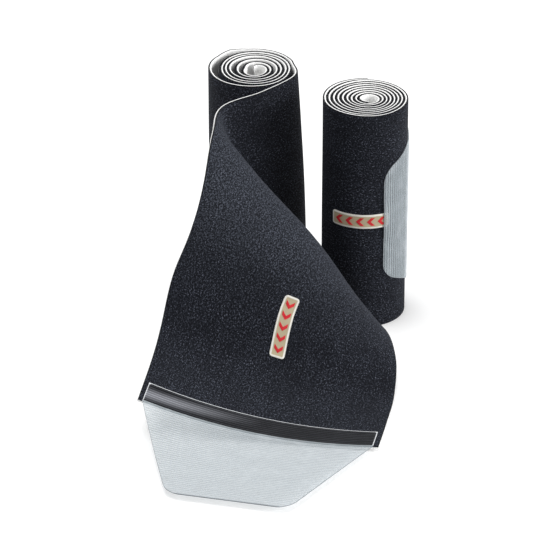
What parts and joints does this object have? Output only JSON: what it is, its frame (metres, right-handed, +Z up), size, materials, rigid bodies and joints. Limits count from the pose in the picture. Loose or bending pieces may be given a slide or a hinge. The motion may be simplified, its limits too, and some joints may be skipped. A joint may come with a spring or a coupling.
{
  "type": "self-gripping foam wrap rolls",
  "caption": "Pair of self-gripping foam wrap rolls standing on end, one wound tight and closed by its hook tab, one loose with its outer end draped to the floor.",
  "frame": {"origin": "on the floor, at the core line of the open roll", "axes": "+Z up along the rolls, +X right towards the fastened roll, +Y back, away from the draped end"},
  "size_m": [0.1711, 0.3192, 0.1526],
  "materials": {
    "loop_face": "brushed loop pile, matte",
    "foam_back": "open-cell foam, matte",
    "hook_sheet": "translucent ribbed hook sheet",
    "label_woven": "woven label, matte",
    "label_mark": "woven chevrons, matte"
  },
  "bodies": {
    "open_roll": {"open_coil_face": "loop_face", "open_coil_foam": "foam_back", "open_drape_face": "loop_face", "open_drape_foam": "foam_back", "open_tab_band": "hook_sheet", "open_label": "label_woven", "open_label_marks": "label_mark"},
    "open_tab": {"open_tab_flap": "hook_sheet"},
    "fastened_roll": {"fastened_coil_face": "loop_face", "fastened_coil_foam": "foam_back", "fastened_tab_band": "hook_sheet", "fastened_label": "label_woven", "fastened_label_marks": "label_mark"},
    "fastened_tab": {"fastened_tab_flap": "hook_sheet"}
  },
  "joints": [
    {"name": "open_tab_fold", "type": "hinge", "parent": "open_roll", "child": "open_tab", "pos_m": [0.0032, -0.21137, 0.01429], "axis": [-0.98, 0.1414, 0.1403], "range_deg": [0, 90]},
    {"name": "roll_lift", "type": "slide", "parent": "open_roll", "child": "fastened_roll", "axis": [0, 0, 1], "range_m": [0, 0.18]},
    {"name": "fastened_tab_peel", "type": "hinge", "parent": "fastened_roll", "child": "fastened_tab", "pos_m": [0.0734, -0.0136, 0.0762], "axis": [0, 0, 1], "range_deg": [0, 110]}
  ]
}
